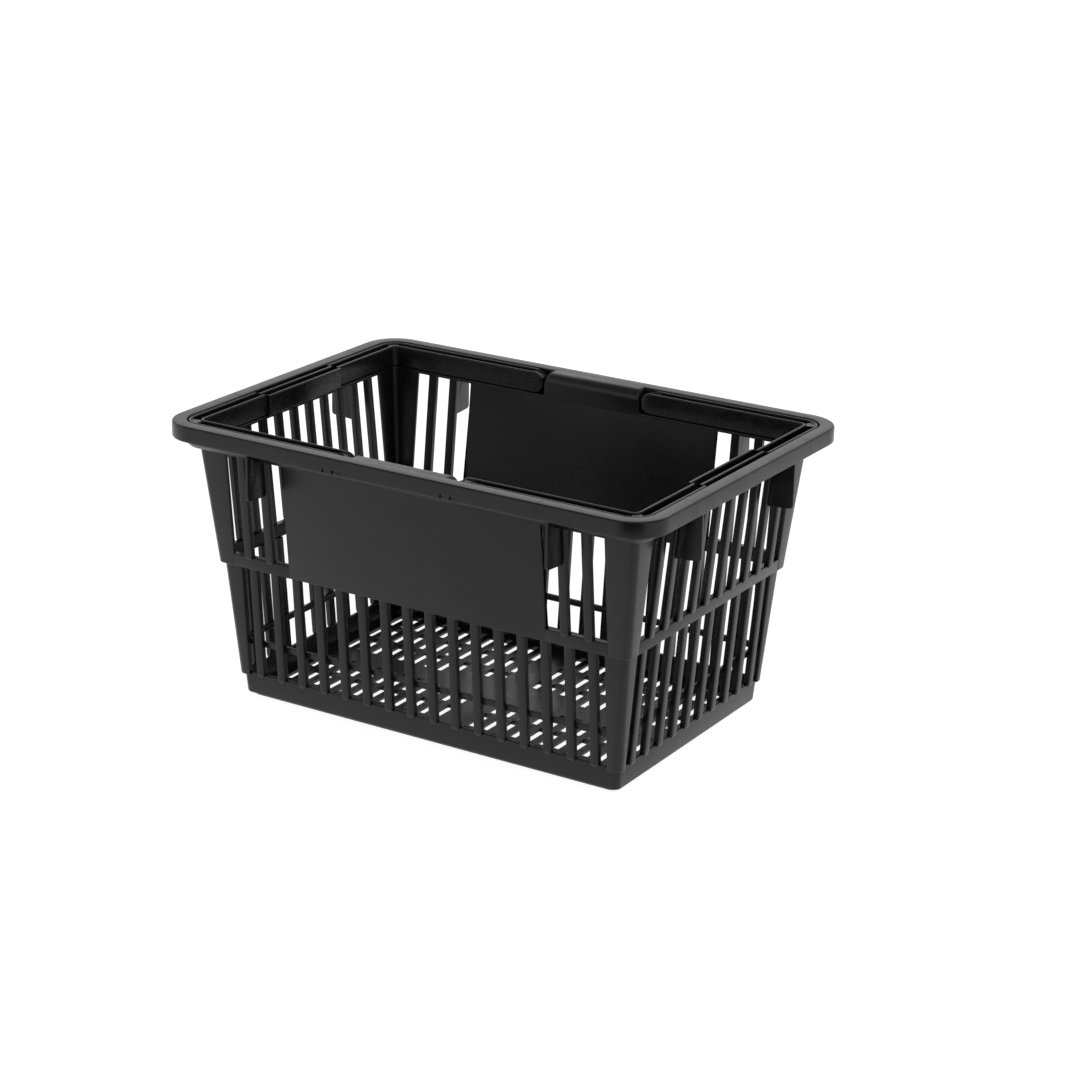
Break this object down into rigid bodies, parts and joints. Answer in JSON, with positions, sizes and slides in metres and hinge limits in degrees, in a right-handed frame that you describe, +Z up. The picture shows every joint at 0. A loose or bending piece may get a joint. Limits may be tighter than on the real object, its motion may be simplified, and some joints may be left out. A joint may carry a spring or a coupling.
{
  "type": "shopping basket",
  "caption": "Slatted plastic hand-held shopping basket with flared walls, solid label panels, a channelled rim and two fold-flat swing handles.",
  "frame": {"origin": "middle of the underside, on the plane that the basket stands on", "axes": "+X along the long side, +Y across to the back wall, +Z up out of the mouth"},
  "size_m": [0.432, 0.306, 0.229],
  "materials": {
    "basket_plastic": "satin moulded polypropylene, fine mould texture",
    "handle_plastic": "satin moulded polypropylene, scuffed where hands and rim rub",
    "floor_plastic": "semi-gloss moulded polypropylene"
  },
  "bodies": {
    "basket": {"back_base_band": "basket_plastic", "back_gussets": "basket_plastic", "back_inner_rail": "basket_plastic", "back_left_post": "basket_plastic", "back_left_rim_corner": "basket_plastic", "back_lower_bars": "basket_plastic", "back_mid_band": "basket_plastic", "back_panel": "basket_plastic", "back_right_post": "basket_plastic", "back_right_rim_corner": "basket_plastic", "back_rim_bridge": "basket_plastic", "back_rim_rail": "basket_plastic", "back_upper_bars": "basket_plastic", "floor_grid": "floor_plastic", "foot_ring": "basket_plastic", "front_base_band": "basket_plastic", "front_gussets": "basket_plastic", "front_inner_rail": "basket_plastic", "front_left_post": "basket_plastic", "front_left_rim_corner": "basket_plastic", "front_lower_bars": "basket_plastic", "front_mid_band": "basket_plastic", "front_panel": "basket_plastic", "front_right_post": "basket_plastic", "front_right_rim_corner": "basket_plastic", "front_rim_bridge": "basket_plastic", "front_rim_rail": "basket_plastic", "front_upper_bars": "basket_plastic", "left_base_band": "basket_plastic", "left_gussets": "basket_plastic", "left_inner_rail": "basket_plastic", "left_lower_bars": "basket_plastic", "left_mid_band": "basket_plastic", "left_rim_rail": "basket_plastic", "left_upper_bars": "basket_plastic", "right_base_band": "basket_plastic", "right_gussets": "basket_plastic", "right_inner_rail": "basket_plastic", "right_lower_bars": "basket_plastic", "right_mid_band": "basket_plastic", "right_rim_rail": "basket_plastic", "right_upper_bars": "basket_plastic"},
    "left_handle": {"back_left_handle_arm": "handle_plastic", "back_left_handle_corner": "handle_plastic", "back_left_pivot_pin": "handle_plastic", "front_left_handle_arm": "handle_plastic", "front_left_handle_corner": "handle_plastic", "front_left_pivot_pin": "handle_plastic", "left_handle_grip": "handle_plastic"},
    "right_handle": {"back_right_handle_arm": "handle_plastic", "back_right_handle_corner": "handle_plastic", "back_right_pivot_pin": "handle_plastic", "front_right_handle_arm": "handle_plastic", "front_right_handle_corner": "handle_plastic", "front_right_pivot_pin": "handle_plastic", "right_handle_grip": "handle_plastic"}
  },
  "joints": [
    {"name": "left_handle_swing", "type": "hinge", "parent": "basket", "child": "left_handle", "pos_m": [-0.05445, 0, 0.21985], "axis": [0, 1, 0], "range_deg": [0, 107]},
    {"name": "right_handle_swing", "type": "hinge", "parent": "basket", "child": "right_handle", "pos_m": [0.05445, 0, 0.21985], "axis": [0, -1, 0], "range_deg": [0, 107]}
  ]
}
